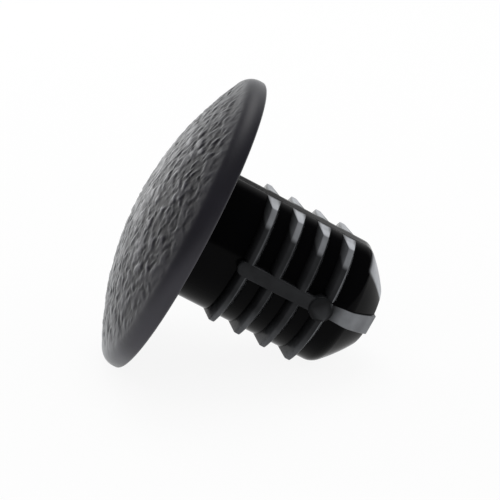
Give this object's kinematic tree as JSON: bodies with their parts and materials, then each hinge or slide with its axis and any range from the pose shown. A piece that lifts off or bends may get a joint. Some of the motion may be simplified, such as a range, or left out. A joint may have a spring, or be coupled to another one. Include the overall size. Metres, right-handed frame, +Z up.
{
  "type": "seal clip",
  "caption": "Push-in moulded plug clip with a shallow grained dome head and a stubby shank with ring barbs, for closing and sealing a round panel hole.",
  "frame": {"origin": "middle of the bounding box's bottom, on the surface that the clip lies on", "axes": "+Z up; the clip lies on its rim and its shoulder, with its crown towards -X and its nose towards +X, leaning down by the angle at which both touch the surface; +Y runs across the head, and the gate pad is on the -Y side"},
  "size_m": [0.016, 0.018, 0.016],
  "materials": {
    "black_nylon": "moulded, grained on the crown and smooth on the shank"
  },
  "bodies": {
    "root": {"seal_clip": "black_nylon"}
  },
  "joints": []
}
